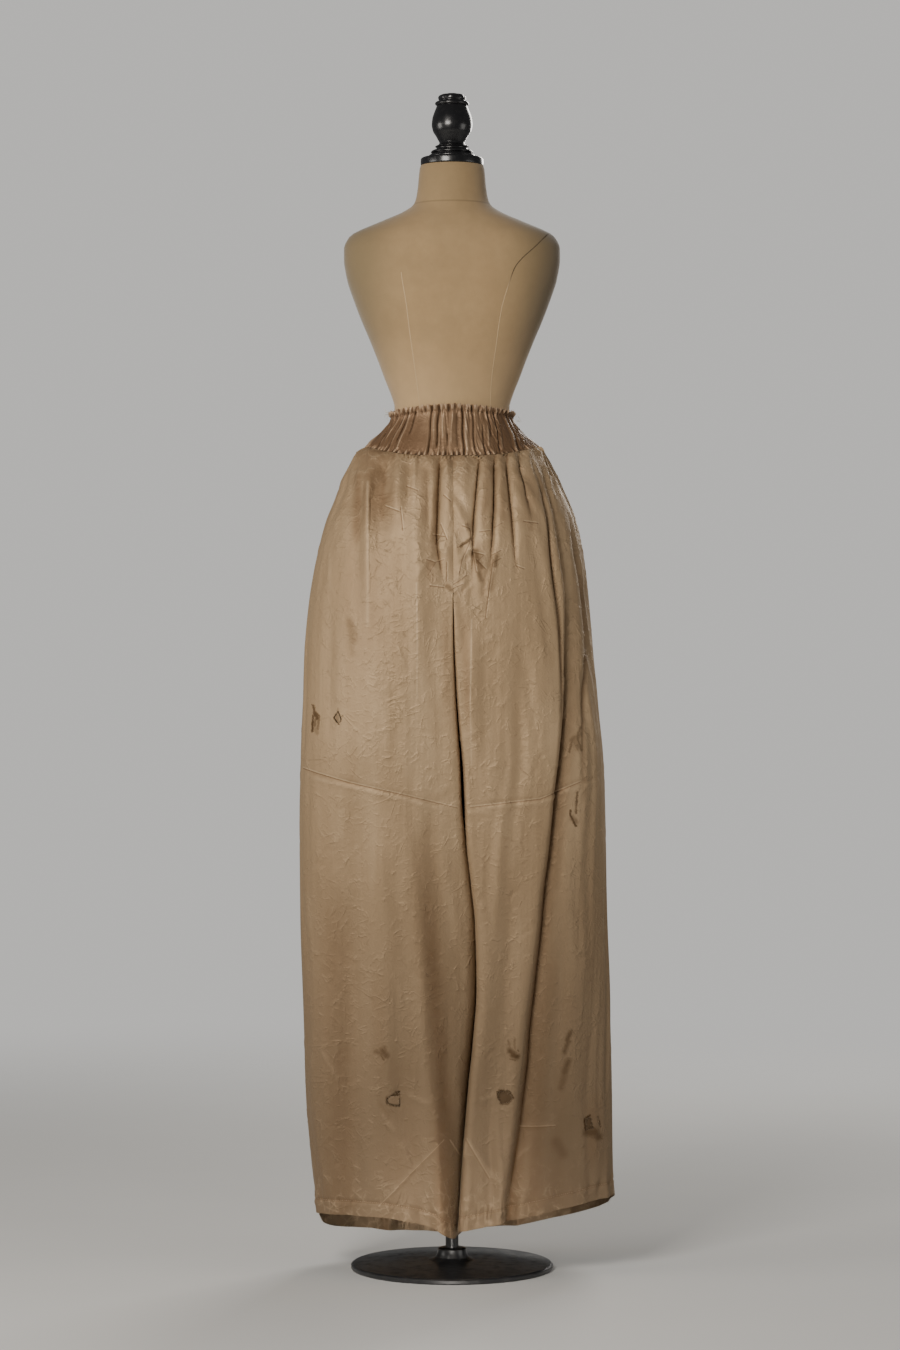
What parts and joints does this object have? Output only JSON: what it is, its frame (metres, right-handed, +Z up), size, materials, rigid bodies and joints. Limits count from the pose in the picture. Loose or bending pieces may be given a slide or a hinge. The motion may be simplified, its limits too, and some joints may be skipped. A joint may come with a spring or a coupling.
{
  "type": "elastic-waist trousers on dress form",
  "caption": "Wide-leg silk satin trousers with a gathered elastic waist, extra long to the floor, on a limbless dress form with a turned finial and a round-footed stand.",
  "frame": {"origin": "centre of the stand base's flat underside, on the floor below the pole", "axes": "+Z up, -Y towards the front of the trousers, +X to the viewer's right when facing the front"},
  "size_m": [0.5329, 0.3719, 1.9968],
  "materials": {
    "leg_satin": "champagne-brown silk satin with a soft sheen, fine creases, stains and worn places",
    "band_satin": "darker brown gathered satin with a frayed heading",
    "form_jersey": "matt tan jersey stretched over a padded form",
    "black_lacquer": "turned wood in gloss black lacquer",
    "stand_iron": "black enamelled iron, satin"
  },
  "bodies": {
    "root": {"left_front": "leg_satin", "right_front": "leg_satin", "left_back": "leg_satin", "right_back": "leg_satin", "waistband": "band_satin", "form_torso": "form_jersey", "neck_cap": "black_lacquer", "finial": "black_lacquer", "stand_pole": "stand_iron", "stand_base": "stand_iron"}
  },
  "joints": []
}
